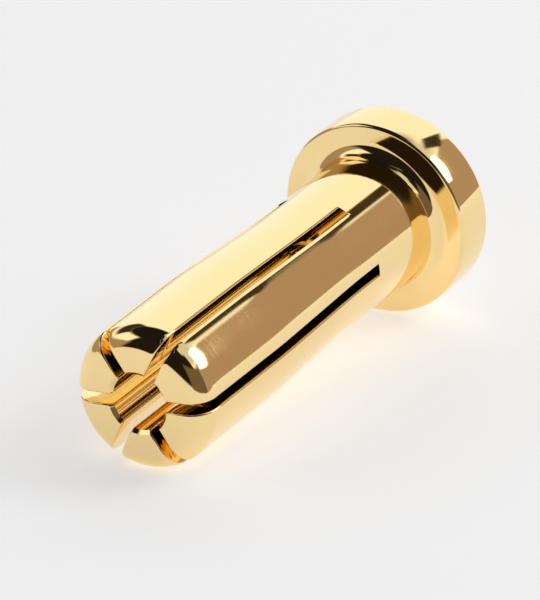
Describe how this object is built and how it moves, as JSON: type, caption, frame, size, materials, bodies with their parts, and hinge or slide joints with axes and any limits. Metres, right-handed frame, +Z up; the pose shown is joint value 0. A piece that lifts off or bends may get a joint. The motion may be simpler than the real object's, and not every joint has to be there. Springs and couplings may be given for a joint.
{
  "type": "bullet connector plug",
  "caption": "Low-profile gold-plated bullet plug for a battery lead: a round head with a side-entry solder pocket and a hollow pin slit into sprung contact fingers.",
  "frame": {"origin": "centre of the head's outer face, which the plug stands on", "axes": "+Z up the pin from the head to the tip, +Y the way the solder pocket opens, +X along one of the slits"},
  "size_m": [0.0054, 0.0054, 0.014],
  "materials": {
    "gold_plate": "bright gold plate over turned brass, with fine turning lines"
  },
  "bodies": {
    "root": {"plug": "gold_plate"}
  },
  "joints": []
}
